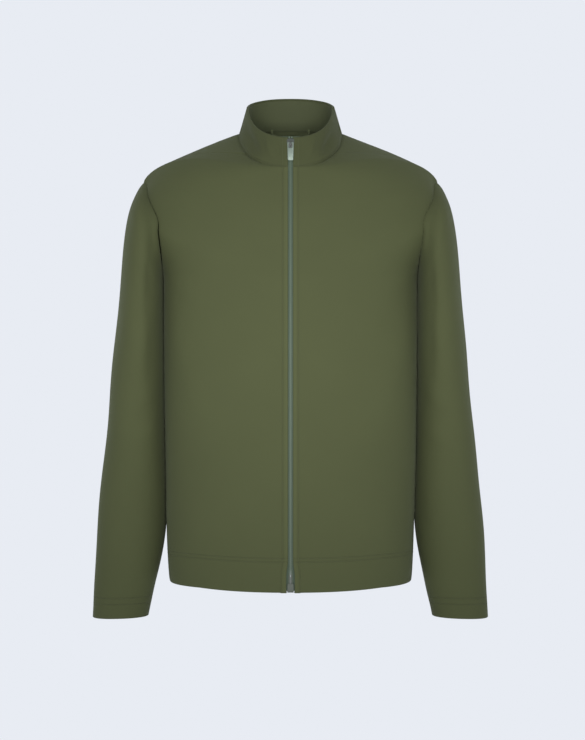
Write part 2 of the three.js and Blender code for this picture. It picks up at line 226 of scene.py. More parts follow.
def woven(name, colour, lines=(), pitch=0.62, worn=0.004, rough=0.86):
    """lines are (direction, distance, width) in metres: sewn channels ruled on the piece's own map."""
    finish = Finish(name)
    spot = finish.spot("UV")
    across, along, _ = finish.split(spot)
    turns = 2 * math.pi / (pitch * MM)
    warp = (across * turns).sine() * ((along * (turns / 2)).sine())
    weft = (along * turns).sine() * ((across * (turns / 2)).sine())
    weave = warp + weft
    slub = finish.noise(spot, 700.0, 2.0)
    cloud = finish.noise(spot, 9.0, 4.0)
    tone = (slub - 0.5) * 0.5 + (cloud - 0.5) * 0.5 + weave * 0.07 + 0.5
    base = finish.blend(tone, shade(colour, 0.86), shade(colour, 1.14))
    grooves_and_shade = 0.0
    for direction, distance, width in lines:
        line = across if direction == "u" else along
        grooves_and_shade = line.ridge(distance, width * MM) + grooves_and_shade
    # Painted shade: the colour is darkened along each sewn channel, standing in for the shade in it.
    if lines:
        base = finish.blend(grooves_and_shade * 0.16, base, shade(colour, 0.4))
    rubbed = across.size().ridge(0, worn) * 0.22
    base = finish.blend(rubbed, base, shade(colour, 1.5))
    relief = finish.bump(weave, 0.00006, 0.55)
    relief = finish.bump(finish.noise(spot, 55.0, 4.0), 0.0009, 0.35, relief)
    if lines:
        relief = finish.bump(grooves_and_shade * -1.0, 0.0008, 0.6, relief)
    finish.set(Base_Color=base, Roughness=(slub - 0.5) * 0.12 + rough, Normal=relief)
    finish.set(Sheen_Weight=0.06, Sheen_Roughness=0.4, Sheen_Tint=(0.8, 0.9, 0.6, 1),
               Specular_IOR_Level=0.14)
    return finish.material


print("woven cloth ready")

# %% [markdown]
# ## The finishes
# Each piece of shell cloth has its own sewn lines, so each gets its own version of the same cloth. The
# lining is the same yarn, woven finer. The zip has a ribbed tape, moulded teeth and satin metal.

# %% Cloth for each piece
HEM_LINE, CUFF_LINE, ZIP_LINE, YOKE_LINE, COLLAR_LINE = 41 * MM, 29 * MM, 6.5 * MM, 4 * MM, 3 * MM
HEM_UPPER, CUFF_LOWER = HEM_LINE + 5 * MM, CUFF_LINE - 9 * MM
UNWORN = 0.00001
HEM_CHANNELS = [("v", HEM_LINE, 1.2), ("v", HEM_UPPER, 0.9)]
front_cloth = woven("shell_front", OLIVE, [("u", ZIP_LINE, 1.1), *HEM_CHANNELS])
back_cloth = woven("shell_back", OLIVE, HEM_CHANNELS, worn=UNWORN)
yoke_cloth = woven("shell_yoke", OLIVE, [("v", YOKE_LINE, 1.0)], worn=UNWORN)
sleeve_cloth = woven("shell_sleeve", OLIVE, [("v", CUFF_LINE, 1.2), ("v", CUFF_LOWER, 0.8)], worn=UNWORN)
# Painted shade: the collar's cloth is coloured darker than the same shell cloth, standing in for the shade on
# the collar.
SHADED_COLLAR_OLIVE = tuple(0.86 * part for part in OLIVE)
NECK_OLIVE = tuple(1.7 * part for part in LINING_OLIVE)
neck_cloth = woven("lining_neck", NECK_OLIVE, pitch=0.45, rough=0.8, worn=UNWORN)
collar_cloth = woven("shell_collar", SHADED_COLLAR_OLIVE, [("v", COLLAR_LINE, 1.0)], worn=0.003)
lining_cloth = woven("lining", LINING_OLIVE, pitch=0.45, rough=0.8, worn=UNWORN)
print("cloths", [m.name for m in bpy.data.materials if m.name.startswith("shell")])

# %% Zip finishes
TAPE_GREEN = (0.033, 0.052, 0.031)


def ribbed_tape():
    finish = Finish("zip_tape_weave")
    spot = finish.spot("Object")
    across, _, height = finish.split(spot)
    ribs = (across * (2 * math.pi / (0.9 * MM))).sine() + (height * (2 * math.pi / (0.8 * MM))).sine() * 0.5
    tone = finish.noise(spot, 500.0) * 0.6 + ribs * 0.12 + 0.2
    base = finish.blend(tone, shade(TAPE_GREEN, 0.75), shade(TAPE_GREEN, 1.2))
    finish.set(Base_Color=base, Roughness=finish.noise(spot, 80.0) * 0.2 + 0.7,
               Normal=finish.bump(ribs, 0.00012, 0.6))
    return finish.material


def moulded(name, colour, rough):
    finish = Finish(name)
    spot = finish.spot("Object")
    cloud = finish.noise(spot, 260.0, 4.0)
    base = finish.blend(cloud, shade(colour, 0.85), shade(colour, 1.15))
    finish.set(Base_Color=base, Roughness=cloud * 0.2 + rough, Specular_IOR_Level=0.45,
               Normal=finish.bump(finish.noise(spot, 1500.0), 0.00004, 0.4))
    return finish.material


def satin_metal():
    finish = Finish("satin_metal")
    spot = finish.spot("Object")
    stretch = finish.node("ShaderNodeMapping", {"Vector": spot, "Scale": (2600, 2600, 160)})
    brushed = finish.noise(stretch, 1.0, 4.0)
    rubbed = finish.noise(spot, 420.0)
    base = finish.blend(rubbed, (0.080, 0.104, 0.082, 1), (0.145, 0.178, 0.147, 1))
    finish.set(Base_Color=base, Metallic=0.45, Roughness=brushed * 0.22 + 0.36,
               Normal=finish.bump(brushed, 0.00003, 0.35))
    return finish.material


tape_weave = ribbed_tape()
tooth_resin = moulded("tooth_resin", (0.050, 0.076, 0.047), 0.42)
pin_resin = moulded("pin_resin", (0.040, 0.048, 0.034), 0.5)
# The slider's dark finish is the bridge's own enamel and, on the slider body, painted shade, so that the hole
# through the bridge reads as shadow.
slider_enamel = moulded("slider_enamel", (0.030, 0.036, 0.029), 0.34)
zip_metal = satin_metal()


def thread_finish():
    finish = Finish("thread")
    spot = finish.spot("Object")
    twist = finish.noise(spot, 2400.0, 2.0)
    finish.set(Base_Color=finish.blend(twist, shade(OLIVE, 0.9), shade(OLIVE, 1.45)),
               Roughness=twist * 0.2 + 0.6, Normal=finish.bump(twist, 0.00005, 0.5))
    return finish.material


thread = thread_finish()
print("materials", len(bpy.data.materials))

# %% [markdown]
# ## Sizes from the frame
# The solids already hold the lengths that matter, so the cloth reads them: where the hem is, how wide the
# hem is, where the zip starts. The other numbers are the pattern's own and hang from those.

# %% Sizes
HEM_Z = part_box("back_panel")[0][2]
ARMPIT_UP, TIP_UP = 0.447, 0.586
TIP_Z, ARMPIT_Z = HEM_Z + TIP_UP, HEM_Z + ARMPIT_UP
HEM_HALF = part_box("back_hem_turn")[1][0] + 1.6 * MM
CHEST_HALF = HEM_HALF + 9.5 * MM
SIDE_Y = 6 * MM
ZIP_HEAD = Vector((0, -90 * MM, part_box("left_collar_front")[0][2] + 40.6 * MM))
ZIP_FOOT_Y = -135 * MM
BACK_HEM_Y, BLADE_Y, BLADE_Z, TIP_BACK_Y = 0.124, 0.138, HEM_Z + 0.44, 0.112
NECK_HALF, NECK_FRONT_Z, NECK_BACK_Y, NECK_BACK_Z = 0.076, HEM_Z + 0.6, 0.078, 0.016
RIM_HALF, RIM_BACK_Y, RIM_SIDE_Z, RIM_BACK_Z = 0.065, 0.072, 0.039, 0.059
BODY_ROUND, NECK_ROUND, SLEEVE_ROUND = 2.5, 2.35, 2.2
EDGE_X = 4.7 * MM
LINING_EDGE_X = EDGE_X + 1.2 * MM
print("hem", HEM_Z, "hem half", HEM_HALF, "zip head", tuple(ZIP_HEAD))

# %% [markdown]
# ## One surface for the whole body
# A worn jacket is close to a squared oval at every height. phi walks round it (0 the left side, 90 degrees
# the front, -90 the back) and row climbs it: 0 the hem, 1 the armpit, 2 the shoulder tip, 3 the neck seam.
# Pieces cut from one surface meet exactly at their seams, which is why the panels aren't shaped one by one.

# %% The body surface
def mix(first, second, share):
    return first + (second - first) * share


def squared(value, power):
    return np.sign(value) * np.abs(value) ** (2 / power)


def stack(x, y, z):
    return np.stack(np.broadcast_arrays(x, y, z), axis=-1)


def front_y(z):
    return mix(ZIP_FOOT_Y, ZIP_HEAD.y, (z - HEM_Z) / (ZIP_HEAD.z - HEM_Z))


def back_y(z):
    low = mix(BACK_HEM_Y, BLADE_Y, np.sin(math.pi / 2 * np.clip((z - HEM_Z) / (BLADE_Z - HEM_Z), 0, 1)))
    high = BLADE_Y - (BLADE_Y - TIP_BACK_Y) * ((z - BLADE_Z) / (TIP_Z - BLADE_Z)) ** 2
    return np.where(z < BLADE_Z, low, high)


def armhole_x(k):
    return (187.5 + 4 * k + 14 * k ** 2 + 4 * k ** 3 + 8.5 * k ** 10) * MM


def half_width(z, k):
    rise = np.sin(math.pi / 2 * np.clip((z - HEM_Z) / (ARMPIT_Z - HEM_Z), 0, 1)) ** 0.55
    upper = armhole_x(k) + 28 * MM * np.sin(math.pi * np.clip(k, 0, 1)) ** 2
    return np.where(k > 0, upper, mix(HEM_HALF, CHEST_HALF, rise))


def ring(phi, half, front, back, z, power=NECK_ROUND):
    depth = np.where(np.sin(phi) >= 0, SIDE_Y - front, back - SIDE_Y)
    y = SIDE_Y - depth * squared(np.sin(phi), power)
    return stack(half * squared(np.cos(phi), power), y, z)


def neck(phi):
    sine = np.sin(phi)
    z = np.where(sine >= 0, NECK_FRONT_Z * np.abs(sine) ** 0.95, -NECK_BACK_Z * sine)
    return ring(phi, NECK_HALF, front_y(NECK_FRONT_Z), NECK_BACK_Y, z)


def plain_body(phi, row):
    low = np.clip(row, 0, 1)
    middle = np.clip(row - 1, 0, 1)
    top = np.clip(row - 2, 0, 1)
    z = mix(HEM_Z, ARMPIT_Z, low) + (TIP_Z - ARMPIT_Z) * middle
    wall = ring(phi, half_width(z, middle), front_y(z), back_y(z), z, BODY_ROUND)
    point = mix(wall, neck(phi), top[..., None])
    rise = 11.5 * MM * np.sin(math.pi * top ** 0.45) * np.abs(np.cos(phi))
    return point + stack(0, 0, rise)


def body(phi, row):
    """plain_body with the turn from chest to shoulder eased round row 2."""
    phi, row = np.broadcast_arrays(np.asarray(phi, float), np.asarray(row, float))
    reach = 0.85 * np.abs(np.sin(phi)) ** 0.7 + 1e-6
    t = np.clip((row - 2 + reach) / (2 * reach), 0, 1)[..., None]
    low, knee, high = (plain_body(phi, 2 + reach * way) for way in (-1, 0, 1))
    eased = low * (1 - t) ** 2 + knee * 2 * t * (1 - t) + high * t ** 2
    return np.where((np.abs(row - 2) < reach)[..., None], eased, plain_body(phi, row))


def collar(phi, k):
    phi, k = np.broadcast_arrays(np.asarray(phi, float), np.asarray(k, float))
    sine = np.sin(phi)
    z = np.where(sine >= 0, mix(RIM_SIDE_Z, ZIP_HEAD.z, np.abs(sine) ** 0.95),
                 mix(RIM_SIDE_Z, RIM_BACK_Z, -sine))
    rim = ring(phi, RIM_HALF, ZIP_HEAD.y, RIM_BACK_Y, z)
    return mix(neck(phi), rim, k[..., None])


print("chest front", body(math.pi / 2, 1.3).round(3), "neck side", body(0.0, 3.0).round(3))

# %% [markdown]
# ## The sleeve surface
# Each sleeve is a tapering tube through six rings, from the armhole to the cuff. Its first ring is pulled
# onto the armhole of the body, so the two share one seam line.

# %% The sleeve surface
SLEEVE_INNER = [(188.0, -215), (187.2, -242), (186.9, -300), (185.4, -450), (184.6, -585), (209, -711)]
SLEEVE_OUTER = [(218.5, -73.5), (240, -124), (252, -230), (271, -430), (285, -585), (291, -713)]
SLEEVE_DEPTH = [(77, 6), (81, 7), (80, 9), (64, 12), (50, 4), (36, -12)]
LOWERED = HEM_Z + 660 * MM


def through(points, t):
    knots = np.array(points, float) * MM
    ends = np.vstack([2 * knots[0] - knots[1], knots, 2 * knots[-1] - knots[-2]])
    place = np.clip(t, 0, 1) * (len(knots) - 1)
    first = np.minimum(place.astype(int), len(knots) - 2)
    f = (place - first)[..., None]
    a, b, c, d = (ends[first + i] for i in range(4))
    return 0.5 * (2 * b + (c - a) * f + (2 * a - 5 * b + 4 * c - d) * f ** 2
                  + (3 * b - a - 3 * c + d) * f ** 3)


def outer_share(theta):
    return 0.5 + 0.5 * squared(np.cos(theta), SLEEVE_ROUND)


def sleeve_tube(theta, t):
    inner, outer, depth = (through(points, t) for points in (SLEEVE_INNER, SLEEVE_OUTER, SLEEVE_DEPTH))
    out = outer_share(theta)
    y = depth[..., 1] + depth[..., 0] * squared(np.sin(theta), SLEEVE_ROUND)
    return stack(mix(inner[..., 0], outer[..., 0], out), y, mix(inner[..., 1], outer[..., 1], out) + LOWERED)


def armhole_angle(row):
    """How far round from the side the body's edge is, at each row of the armhole."""
    k = np.clip(row - 1, 0, 1)
    share = armhole_x(k) / half_width(mix(ARMPIT_Z, TIP_Z, k), np.maximum(k, 1e-9))
    return np.arccos(np.clip(share, 0, 1) ** (BODY_ROUND / 2))


def armhole(theta):
    out = outer_share(theta)
    return body(-np.sign(np.sin(theta)) * armhole_angle(1 + out), 1 + out)


def sleeve(theta, t):
    theta, t = np.broadcast_arrays(np.asarray(theta, float), np.asarray(t, float))
    pull = np.clip(1 - t / 0.16, 0, 1)[..., None] ** 2
    return sleeve_tube(theta, t) + (armhole(theta) - sleeve_tube(theta, np.zeros_like(t))) * pull


print("armhole top", armhole(0.0).round(3), "armpit", armhole(math.pi).round(3))

# %% [markdown]
# ## Folds
# Cloth that hangs free never lies dead flat. Three kinds of movement are sculpted in: a slow drift made of
# a few long waves, single soft creases between two points, and the dip of a seam. They could come from a
# cloth simulation, but this jacket is pressed and nearly smooth, and a sculpted fold stays where it is put.

# %% Drift, creases and dips
def drift(points, seed, wave, height):
    """Slow waves about wave metres long, height metres high, the same on every run."""
    luck = np.random.default_rng(seed)
    total = np.zeros(points.shape[:-1])
    for _ in range(8):
        way = luck.normal(size=3) * (1, 1, 0.6)
        way /= np.linalg.norm(way)
        length = wave * luck.uniform(0.6, 1.7)
        total += np.sin(points @ way * (2 * math.pi / length) + luck.uniform(0, 2 * math.pi))
    return total * height / 2.8


def crease(points, start, end, width, height):
    """A soft ridge seen from the front, from start to end, each (x, z), fading at both ends."""
    flat = points[..., [0, 2]]
    start, end = np.array(start), np.array(end)
    along = end - start
    share = np.clip(((flat - start) @ along) / (along @ along), 0, 1)
    away = np.linalg.norm(flat - start - share[..., None] * along, axis=-1)
    return height * np.exp(-(away / width) ** 2) * np.sin(math.pi * np.clip(share * 0.9 + 0.05, 0, 1)) ** 0.7


def creases(points, lines):
    """Creases on both sides of the middle. Each line is (start, end, width, height) on the left side."""
    return sum(crease(points, (way * start[0], start[1]), (way * end[0], end[1]), width, height)
               for way in (1, -1) for start, end, width, height in lines)


def dip(distance, depth=0.35 * MM, width=1.8 * MM):
    return -depth * np.exp(-(distance / width) ** 2)


print("fold helpers ready")

# %% [markdown]
# ## Cutting one piece of cloth
# A piece is a plain grid laid over part of a surface. Its columns are spaced evenly along the cloth, not
# by angle, so the weave isn't stretched. Then it is shaped like the real cut: folds push it in and out,
# its seams dip, and a hem is turned round a small radius and tucked inside. Solidify gives the cloth its
# thickness last, because a modifier keeps the grid light for everything before it.

# %% From a surface to a piece of cloth
CUT = {}
SEAM_RADIUS = 0.5 * MM
# A turned edge: which edge, the radius of its fold, and how far the cloth is tucked inside.
HEM_TURN, CUFF_TURN = ("v0", 1.5 * MM, 6 * MM), ("v1", 1.4 * MM, 6 * MM)
ZIP_TURN, COLLAR_ZIP_TURN = ("u1", 1.1 * MM, 7 * MM), ("u1", 1.1 * MM, 6 * MM)
RIM_TURN, COLLAR_FOOT_TURN = ("v1", 1.9 * MM, 6 * MM), ("v0", 0.7 * MM, 0)


def level(start, stop):
    """The same start and stop on every row."""
    return lambda row: (start + 0 * row, stop + 0 * row)


def angle_where(surface, row, test):
    """The angle from the side towards the front middle where test turns true, for every row."""
    low, high = np.zeros_like(row), np.full_like(row, math.pi / 2)
    for _ in range(36):
        middle = (low + high) / 2
        found = test(surface(middle, row))
        low, high = np.where(found, low, middle), np.where(found, middle, high)
    return high


def even(surface, rows, start, stop, shares):
    """Points at equal shares of the cloth's own length across each row, and that length."""
    phi = start[:, None] + (stop - start)[:, None] * np.linspace(0, 1, 321)
    steps = np.linalg.norm(np.diff(surface(phi, rows[:, None]), axis=1), axis=2)
    arc = np.concatenate([np.zeros((len(rows), 1)), np.cumsum(steps, axis=1)], axis=1)
    angles = [np.interp(shares * line[-1], line, angle) for line, angle in zip(arc, phi)]
    return surface(np.array(angles), rows[:, None]), arc[:, -1]


def outward(points, closed):
    if closed:
        points = np.concatenate([points[:, -2:-1], points, points[:, 1:2]], axis=1)
    normal = -np.cross(np.gradient(points, axis=1), np.gradient(points, axis=0))
    normal /= np.linalg.norm(normal, axis=2, keepdims=True) + 1e-12
    return normal[:, 1:-1] if closed else normal


def turned(edge, radius, tuck, points, normal, u, v):
    """The same arrays with the cloth turned round radius at one edge and tucked inside."""
    def swing(array):
        array = array.swapaxes(0, 1) if edge[0] == "u" else array
        return array[::-1] if edge[1] == "1" else array

    def back(array):
        array = array[::-1] if edge[1] == "1" else array
        return array.swapaxes(0, 1) if edge[0] == "u" else array

    points, normal, u, v = (swing(array) for array in (points, normal, u, v))
    out = points[0] - points[1]
    out = out - normal[0] * (out * normal[0]).sum(axis=1, keepdims=True)
    out /= np.linalg.norm(out, axis=1, keepdims=True) + 1e-12
    ring_rows = [points[0] + out * radius * math.sin(a) - normal[0] * radius * (1 - math.cos(a))
                 for a in np.linspace(math.pi / 6, math.pi, 6)]
    reach = np.linalg.norm(points - points[0], axis=2).mean(axis=1)
    inner = [points[j] - normal[j] * 2 * radius for j in range(1, len(reach)) if reach[j] <= tuck]
    extra = np.array((ring_rows + inner)[::-1])
    gone = np.linalg.norm(np.diff(np.concatenate([extra, points[:1]]), axis=0), axis=2)
    gone = np.cumsum(gone[::-1], axis=0)[::-1]
    across, along = (u, v) if edge[0] == "u" else (v, u)
    way = np.sign(across[0] - across[1] + 1e-15)
    beyond = across[:1] + gone * way
    still = np.repeat(along[:1], len(extra), axis=0)
    first, second = np.concatenate([beyond, across]), np.concatenate([still, along])
    u, v = (first, second) if edge[0] == "u" else (second, first)
    normal = np.concatenate([np.repeat(normal[:1], len(extra), axis=0), normal])
    return [back(array) for array in (np.concatenate([extra, points]), normal, u, v)]


def cloth(name, surface, rows, span, shares, depth=0.0, wall=0.6 * MM, relief=None, dips=(), turns=(),
          side=1, inside=False, zero="middle", closed=False, top_down=False, neck_edge=False, sag=0.0,
          *, material):
    start, stop = span(rows)
    points, length = even(surface, rows, start, stop, shares)
    normal = outward(points, closed)
    points = points - normal * depth
    across = shares * length[:, None]
    climb = np.linalg.norm(np.diff(points, axis=0), axis=2).mean(axis=1)
    along = np.concatenate([[0], np.cumsum(climb)])[:, None] * np.ones_like(across)
    ends = {"u0": across, "u1": length[:, None] - across, "v0": along, "v1": along[-1:] - along}
    u = {"start": ends["u0"], "stop": ends["u1"], "middle": across - length[:, None] / 2}[zero]
    v = ends["v1"] if top_down else along
    push = sum((dip(ends[edge]) for edge in dips), np.zeros_like(across))
    push = push + (dip(ends["v1"], 1.6 * MM, 3 * MM) if neck_edge else 0)
    if relief:
        push = push + relief(points * (side, 1, 1), u, v)
    points = points + normal * push[..., None]
    if sag:
        points = points - stack(0, 0, sag * np.exp(-(along / 0.1) ** 2)
                                * np.clip(1 - (points[..., 0] / 0.13) ** 2, 0, 1))
    CUT[name] = [points * (side, 1, 1), outward(points, closed) * (side, 1, 1), u, v]
    size = (float(length.max()), float(along[-1].max()), float(length.mean() * along[-1].max()))
    seams = [(edge, SEAM_RADIUS, 0) for edge in dips]
    for edge, radius, tuck in (*turns, *seams):
        points, normal, u, v = turned(edge, radius, tuck, points, normal, u, v)
    tall, wide = u.shape
    shape = bmesh.new()
    bmesh.ops.create_grid(shape, x_segments=wide - 1, y_segments=tall - 1, size=0.5)
    rule = shape.loops.layers.uv.new("UVMap")
    for vertex in shape.verts:
        row, column = round((vertex.co.y + 0.5) * (tall - 1)), round((vertex.co.x + 0.5) * (wide - 1))
        vertex.index = row * wide + column
    flat_points, flat_u, flat_v = (points * (side, 1, 1)).reshape(-1, 3), u.ravel(), v.ravel()
    for face in shape.faces:
        for loop in face.loops:
            loop[rule].uv = (flat_u[loop.vert.index], flat_v[loop.vert.index])
    for vertex in shape.verts:
        vertex.co = flat_points[vertex.index]
    if closed:
        bmesh.ops.remove_doubles(shape, verts=shape.verts, dist=0.01 * MM)
    if (side == 1) != inside:
        bmesh.ops.reverse_faces(shape, faces=shape.faces)
    piece = finished(name, shape, material)
    thick = piece.modifiers.new("cloth", "SOLIDIFY")
    thick.thickness, thick.offset = wall, -1
    piece["flat"] = [round(value, 4) for value in size]
    print(f"{name}: {len(piece.data.polygons)} faces, flat {size[0]:.3f} x {size[1]:.3f} m")
    return piece


lined = partial(cloth, inside=True, material=lining_cloth)


def finished(name, shape, material, smooth=True):
    mesh = bpy.data.meshes.new(name)
    shape.to_mesh(mesh)
    shape.free()
    mesh.polygons.foreach_set("use_smooth", [smooth] * len(mesh.polygons))
    piece = bpy.data.objects.new(name, mesh)
    bpy.context.collection.objects.link(piece)
    mesh.materials.append(material)
    return piece


def declare(piece, nodes, rides=None):
    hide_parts(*nodes)
    if rides:
        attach(piece, rides)


def marks(count, length, close=(0.8, 1.8, 3.2, 5.0)):
    near = np.array(close) * MM / length
    return np.unique(np.concatenate([np.linspace(0, 1, count + 1), near, 1 - near]).round(7))


print("cutter ready")

# %% [markdown]
# ## Stitches
# A sewn line is a row of short, slightly sunk threads. Each is a small rounded bead, stretched along the
# line and laid on the cloth, so that the row follows every fold. A few dozen faces each is plenty.

# %% A row of stitches
def line_on(name, direction, value, start=0.0, stop=1.0):
    """The points and normals on a cut piece where its u or v has this value."""
    points, normal, u, v = CUT[name]
    grid = (u, points, normal) if direction == "u" else (
        v.T, points.swapaxes(0, 1), normal.swapaxes(0, 1))
    found = []
    for ruler, place, facing in zip(*grid):
        order = np.argsort(ruler)
        if ruler[order[0]] <= value <= ruler[order[-1]]:
            spot = [np.interp(value, ruler[order], place[order, i]) for i in range(3)]
            face = [np.interp(value, ruler[order], facing[order, i]) for i in range(3)]
            found.append(spot + face)
    return np.array(found)[int(start * len(found)):max(int(stop * len(found)), 2)]


STITCH_PITCH, STITCH_LENGTH, STITCH_WIDTH = 3.0, 2.1, 0.55


def sew(name, *rows):
    """Stitches along rows, each (piece, direction, value) as line_on takes them."""
    shape = bmesh.new()
    count = 0
    for row in rows:
        line = line_on(*row)
        steps = np.linalg.norm(np.diff(line[:, :3], axis=0), axis=1)
        arc = np.concatenate([[0], np.cumsum(steps)])
        stops = np.arange(STITCH_PITCH / 2 * MM, arc[-1], STITCH_PITCH * MM)
        at = np.stack([np.interp(stops, arc, line[:, i]) for i in range(6)], axis=1)
        ahead = np.stack([np.interp(stops + 0.5 * MM, arc, line[:, i]) for i in range(3)], axis=1)
        for here, there in zip(at, ahead):
            up = Vector(here[3:]).normalized()
            along = Vector(there) - Vector(here[:3])
            if along.length < 1e-7:
                continue
            along.normalize()
            over = up.cross(along).normalized()
            turn = Matrix((along, over, along.cross(over))).transposed().to_4x4()
            size = Matrix.Diagonal((STITCH_LENGTH / 2 * MM, STITCH_WIDTH / 2 * MM,
                                    STITCH_WIDTH * 0.4 * MM, 1))
            place = Matrix.Translation(Vector(here[:3]) + up * 0.02 * MM)
            bmesh.ops.create_icosphere(shape, subdivisions=1, radius=1, matrix=place @ turn @ size)
            count += 1
    bmesh.ops.recalc_face_normals(shape, faces=shape.faces)
    piece = finished(name, shape, thread)
    print(name, count, "stitches")
    return piece


print("thread ready")

# %% [markdown]
# ## How the cloth moves
# A front folds open about a straight roll line, from the foot of the zip to the collar, and a sleeve lifts at
# the armhole. Cloth can't hinge on a line, so the roll is given a band beside it. Here the roll line only sets
# where the facings and the collar are cut; bend_front and bend_sleeve bake each piece's place into its mesh.

# %% Bending bands
ROLL_FOOT = Vector((0, -0.135, HEM_Z + 5 * MM))
ROLL_HEAD = Vector((62 * MM, -70 * MM, 0))
ROLL_AXIS = (ROLL_HEAD - ROLL_FOOT).normalized()
ROLL_ACROSS = Vector((-0.8, -0.6, 0))
ROLL_ACROSS = (ROLL_ACROSS - ROLL_AXIS * ROLL_ACROSS.dot(ROLL_AXIS)).normalized()
ROLL_BAND = (-12 * MM, 45 * MM)
LIFT_FROM = Vector((203 * MM, 0, TIP_Z - 70 * MM))
LIFT_WAY = Vector((0.919, 0, -0.393))
LIFT_REACH = 0.15


def mirrored(vector, side):
    return (vector[0] * side, vector[1], vector[2])


def bend_front(piece, side):
    name = "left_front" if side == 1 else "right_front"
    from_edge, to_edge = (ROLL_FOOT + ROLL_ACROSS * reach for reach in ROLL_BAND)
    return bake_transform(piece, "torso", name, mirrored(from_edge, side), mirrored(to_edge, side))


def bend_sleeve(piece, side):
    name = "left_sleeve" if side == 1 else "right_sleeve"
    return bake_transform(piece, "torso", name, mirrored(LIFT_FROM, side),
                    mirrored(LIFT_FROM + LIFT_WAY * LIFT_REACH, side))


def across_roll(points):
    return (points - np.array(ROLL_FOOT)) @ np.array(ROLL_ACROSS)


SIDES = ((1, "left"), (-1, "right"))
print("roll line from", tuple(round(x, 3) for x in ROLL_FOOT), "to", tuple(round(x, 3) for x in ROLL_HEAD))

# %% [markdown]
# ## Back and yoke
# The back hangs from a yoke that comes forward over the shoulders, which is why the front shows a seam
# running down from the collar to the shoulder tip. Their edges follow the armhole.

# %% Back panel and yoke
YOKE_ROW = 1.7


def yoke_angle(row):
    return 0.66 * np.clip(row - 2, 0, 1) ** 1.5


def side_or_armhole(row):
    return np.where(row < 2, armhole_angle(row), 0.0)


def beside_seam(points):
    """1 at the side seam, falling to 0 a few centimetres to the front and back of it."""
    return np.exp(-((points[..., 1] - SIDE_Y) / 0.03) ** 2)


BACK_PULLS = [((0.185, ARMPIT_Z + 0.01), (0.09, ARMPIT_Z - 0.07), 0.014, 2.2 * MM),
              ((0.18, ARMPIT_Z - 0.06), (0.10, ARMPIT_Z - 0.19), 0.018, 1.8 * MM)]


def back_relief(points, u, v):
    spine = -1.6 * MM * np.exp(-(points[..., 0] / 0.05) ** 2) * np.clip((v - 0.1) / 0.3, 0, 1)
    to_yoke = np.clip((v.max() - v) / (30 * MM), 0, 1)
    folds = drift(points, 11, 0.17, 0.9 * MM) + creases(points, BACK_PULLS)
    return (folds * (1 - beside_seam(points)) + spine) * to_yoke


rows = np.unique(np.concatenate([marks(78, ARMPIT_UP), 1 + marks(20, 0.1) * 0.7]).round(7))
back = cloth("back_panel_cloth", body, rows,
             lambda row: (side_or_armhole(row) - math.pi, -side_or_armhole(row)), marks(96, 0.43),
             relief=back_relief, dips=("u0", "u1", "v1"), turns=(HEM_TURN,), material=back_cloth)
declare(back, ["back_panel"], "torso")


def yoke_relief(points, u, v):
    return drift(points, 12, 0.12, 0.6 * MM) * np.clip(v / (20 * MM), 0, 1)


def yoke_span(row):
    past_side = np.where(row < 2, side_or_armhole(row), -yoke_angle(row))
    return past_side - math.pi, -past_side


rows = np.unique(np.concatenate([YOKE_ROW + marks(14, 0.05) * 0.3, 2 + marks(34, 0.14)]).round(7))
yoke = cloth("back_yoke_cloth", body, rows, yoke_span, marks(110, 0.45), relief=yoke_relief,
             dips=("u0", "u1", "v0", "v1"), neck_edge=True, material=yoke_cloth)
declare(yoke, ["back_yoke"], "torso")

# %% [markdown]
# ## Fronts
# Each front is one piece from the side seam to the zip. The zip edge and the hem are turned under. Faint
# drag lines run in from the armhole, as on any sleeve that hangs straight down.

# %% Front panels
def zip_edge(surface, x):
    """The zip edge of a surface: x from the middle, and a little more where the slider stops at the foot."""
    def past_edge(points):
        foot = np.clip((HEM_Z + 40 * MM - points[..., 2]) / (16 * MM), 0, 1)
        return points[..., 0] < x + 2.3 * MM * foot
    return lambda row: angle_where(surface, row, past_edge)


FRONT_PULLS = [((0.184, TIP_Z - 0.004), (0.146, TIP_Z - 0.040), 0.009, 0.9 * MM),
               ((0.180, TIP_Z - 0.042), (0.118, TIP_Z - 0.094), 0.010, 0.9 * MM),
               ((0.186, ARMPIT_Z + 0.012), (0.120, ARMPIT_Z - 0.05), 0.013, 1.2 * MM),
               ((0.182, ARMPIT_Z - 0.05), (0.13, ARMPIT_Z - 0.20), 0.016, 1.3 * MM)]


def front_relief(points, u, v):
    placket = 0.5 * MM * np.exp(-((u - 3 * MM) / (3 * MM)) ** 2)
    free = np.clip(u / 0.03, 0, 1) * (1 - beside_seam(points))
    return drift(points, 21, 0.17, 0.8 * MM) * free + creases(points, FRONT_PULLS) + placket


def front_span(row):
    return np.where(row < 2, side_or_armhole(row), yoke_angle(row)), zip_edge(body, EDGE_X)(row)


rows = np.unique(np.concatenate([marks(84, ARMPIT_UP), 1 + marks(30, 0.139), 2 + marks(26, 0.12)]).round(7))
for side, word in SIDES:
    front = cloth(f"{word}_front_cloth", body, rows, front_span, marks(72, 0.29), relief=front_relief,
                  dips=("u0", "v1"), neck_edge=True, sag=3.4 * MM, zero="stop", side=side,
                  turns=(ZIP_TURN, HEM_TURN), material=front_cloth)
    declare(front, [f"{word}_front_side", f"{word}_front_flap"])
    bend_front(front, side)

# %% [markdown]
# ## Inside edges
# Behind each zip edge is a facing, under the back of the neck another, and the hem is turned up and
# stitched. They are seen at the neck and when the fronts fall open. Their face is turned inwards.

# %% Facings and turned hems
FACING_ROWS = 0.51 + marks(80, 0.5) * 2.485
HEM_ROWS = marks(8, 0.041, (1,)) * HEM_LINE / ARMPIT_UP + 0.003
NECK_ROWS = 2.6 + marks(12, 0.05, (1,)) * 0.395


def facing_span(row):
    past_roll = angle_where(body, row, lambda points: across_roll(points) > 13 * MM)
    return np.maximum(zip_edge(body, 50 * MM)(row), past_roll), zip_edge(body, LINING_EDGE_X)(row)


